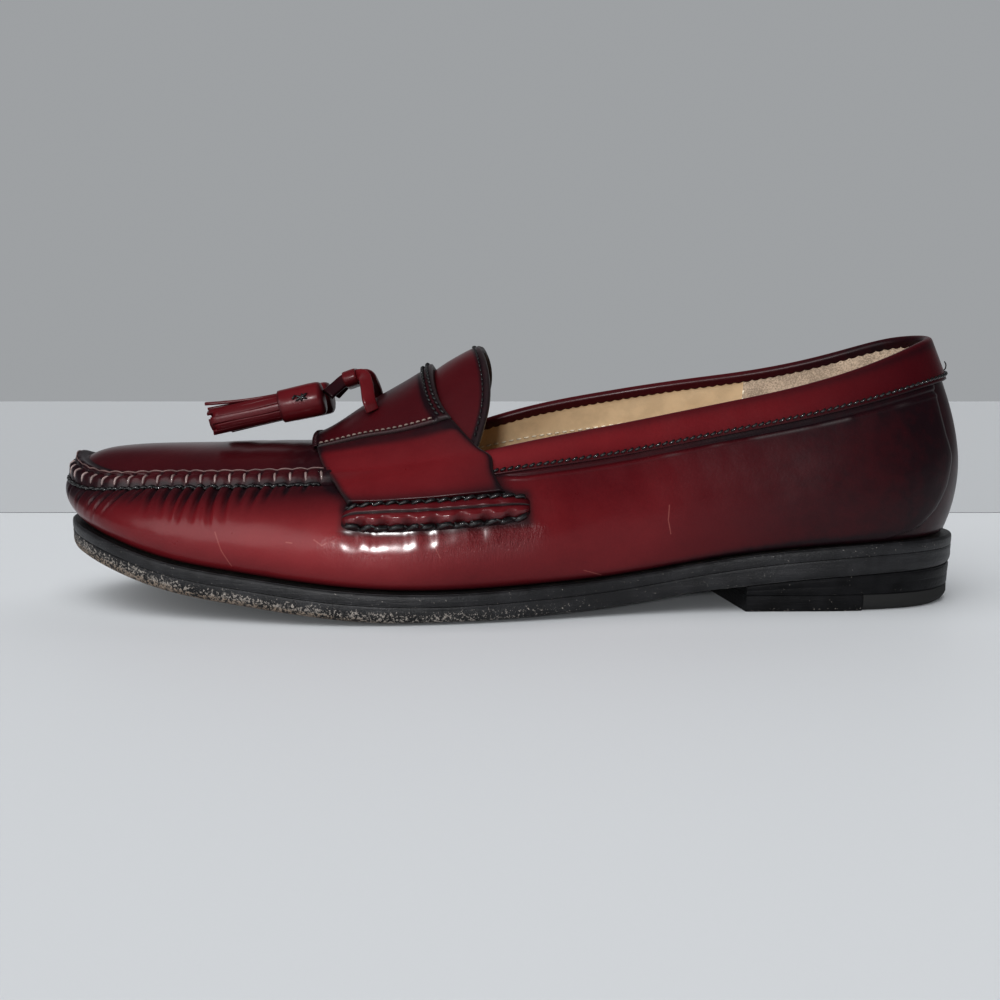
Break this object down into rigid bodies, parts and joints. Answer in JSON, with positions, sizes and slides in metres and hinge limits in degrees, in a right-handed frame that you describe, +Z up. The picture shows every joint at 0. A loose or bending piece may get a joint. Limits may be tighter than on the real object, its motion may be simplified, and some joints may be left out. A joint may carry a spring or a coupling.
{
  "type": "tassel loafer",
  "caption": "men's slip-on tassel loafer for the left foot: moc-stitched vamp, strap with beef rolls, laced tassels, layered leather sole and stacked heel",
  "frame": {"origin": "centre of the bounding box in plan, on the floor that the shoe stands on", "axes": "+X from toe to heel, +Y to the inner side of the foot, +Z up"},
  "size_m": [0.2994, 0.1024, 0.0878],
  "materials": {
    "leather": "polished oxblood leather, burnished nearly black at seams and edges",
    "dark_leather": "polished dark burgundy leather",
    "lining": "matt tan lining leather",
    "sole_leather": "black dressed edge, worn brown along its lower rim",
    "heel_rubber": "matt black rubber"
  },
  "bodies": {
    "root": {"upper": "leather", "tongue": "leather", "strap_outer": "leather", "strap_inner": "leather", "beef_roll_outer": "leather", "beef_roll_inner": "leather", "tassel_outer": "leather", "tassel_inner": "leather", "saddle_panel": "dark_leather", "lace_outer": "dark_leather", "lace_inner": "dark_leather", "lace_knot": "dark_leather", "insole": "lining", "midsole": "sole_leather", "outsole": "sole_leather", "heel_lift": "sole_leather", "heel_top_leather": "sole_leather", "heel_top_rubber": "heel_rubber"}
  },
  "joints": []
}
